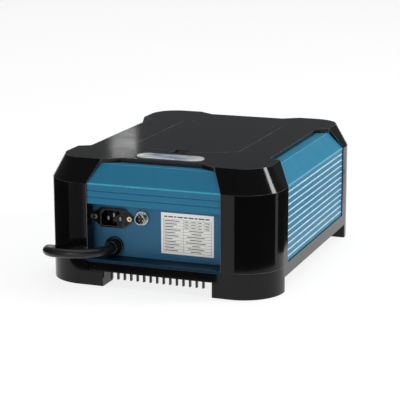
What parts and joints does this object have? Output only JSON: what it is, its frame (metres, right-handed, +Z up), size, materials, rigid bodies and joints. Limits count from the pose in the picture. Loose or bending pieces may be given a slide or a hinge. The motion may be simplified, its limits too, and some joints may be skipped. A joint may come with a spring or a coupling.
{
  "type": "salt chlorine generator",
  "caption": "Power and control box of a pool salt chlorine generator: black corner pillars, ribbed blue panels, hinged lid over the keys, connector bay and a long coiled cell cable.",
  "frame": {"origin": "centre of the body's footprint, on the surface it stands on", "axes": "+Y away from the connector bay, +X to the right when the bay is faced, +Z up"},
  "size_m": [0.282, 0.5004, 0.1378],
  "materials": {
    "housing_black": "glossy moulded plastic, almost black",
    "panel_blue": "satin lacquered sheet, light blue",
    "panel_deep_blue": "satin lacquered sheet, deep blue",
    "heat_sink_black": "black anodised extrusion",
    "steel": "zinc plated",
    "bright_metal": "nickel plated",
    "brass": "plain brass",
    "rubber_black": "matt rubber",
    "label": "matt printed film",
    "badge": "glossy domed badge",
    "bezel_grey": "fine textured moulding",
    "overlay": "matt printed film",
    "display": "lit display window",
    "key_red": "soft matt",
    "key_white": "soft matt",
    "key_green": "soft matt",
    "lamp": "clear tinted",
    "board": "solder mask",
    "dark_part": "moulded",
    "ribbon": "flat cable",
    "ferrite": "lacquered core",
    "copper": "enamelled wire",
    "capacitor": "sleeved",
    "relay_blue": "moulded",
    "terminal_green": "moulded",
    "fuse_glass": "clear",
    "wiring": "sleeved wire",
    "cable_black": "round cable jacket, slight sheen"
  },
  "bodies": {
    "housing": {"base_tray": "housing_black", "corner_feet": "housing_black", "top_cover": "housing_black", "side_panel_left": "panel_blue", "side_panel_right": "panel_blue", "front_visor": "panel_blue", "rear_panel": "panel_blue", "connector_panel": "panel_deep_blue", "heat_sink": "heat_sink_black", "foot_pads": "rubber_black", "housing_screws": "steel", "rating_label": "label", "badge": "badge", "door_hinge_pins": "steel", "door_seal": "rubber_black", "control_bezel": "bezel_grey", "control_overlay": "overlay", "display_frame": "dark_part", "display_glass": "display", "status_leds": "lamp", "control_board": "board", "key_switches": "dark_part", "control_screws": "steel", "ribbon_cable": "ribbon", "inlet_body": "housing_black", "inlet_pins": "bright_metal", "inlet_rivets": "brass", "socket_shell": "bright_metal", "socket_insert": "dark_part", "socket_pins": "brass", "socket_nut": "steel", "gland_body": "housing_black", "gland_seal": "rubber_black", "gland_cap": "housing_black", "gland_locknut": "housing_black", "power_board": "board", "board_standoffs": "brass", "board_screws": "steel", "transformer_core": "ferrite", "transformer_winding": "copper", "transformer_clamp": "steel", "filter_capacitors": "capacitor", "power_transistors": "dark_part", "relays": "relay_blue", "terminal_block": "terminal_green", "fuse_holder": "ribbon", "fuse": "fuse_glass", "inner_wiring": "wiring", "cell_cable": "cable_black", "cell_cable_coil": "cable_black", "cell_cable_tail": "cable_black", "cell_plug": "housing_black", "cell_plug_contacts": "brass"},
    "lid": {"door": "housing_black", "door_magnets": "steel"},
    "key_power": {"key_power": "key_red"},
    "key_menu": {"key_menu": "key_white"},
    "key_down": {"key_down": "key_white"},
    "key_up": {"key_up": "key_white"},
    "key_ok": {"key_ok": "key_green"}
  },
  "joints": [
    {"name": "lid_hinge", "type": "hinge", "parent": "housing", "child": "lid", "pos_m": [0, 0.0886, 0.1346], "axis": [-1, 0, 0], "range_deg": [0, 100]},
    {"name": "key_power_press", "type": "slide", "parent": "housing", "child": "key_power", "axis": [0, 0, -1], "range_m": [0, 0.001], "stiffness_N_per_m": 400, "springref_m": -0.001},
    {"name": "key_menu_press", "type": "slide", "parent": "housing", "child": "key_menu", "axis": [0, 0, -1], "range_m": [0, 0.001], "stiffness_N_per_m": 400, "springref_m": -0.001},
    {"name": "key_down_press", "type": "slide", "parent": "housing", "child": "key_down", "axis": [0, 0, -1], "range_m": [0, 0.001], "stiffness_N_per_m": 400, "springref_m": -0.001},
    {"name": "key_up_press", "type": "slide", "parent": "housing", "child": "key_up", "axis": [0, 0, -1], "range_m": [0, 0.001], "stiffness_N_per_m": 400, "springref_m": -0.001},
    {"name": "key_ok_press", "type": "slide", "parent": "housing", "child": "key_ok", "axis": [0, 0, -1], "range_m": [0, 0.001], "stiffness_N_per_m": 400, "springref_m": -0.001}
  ]
}
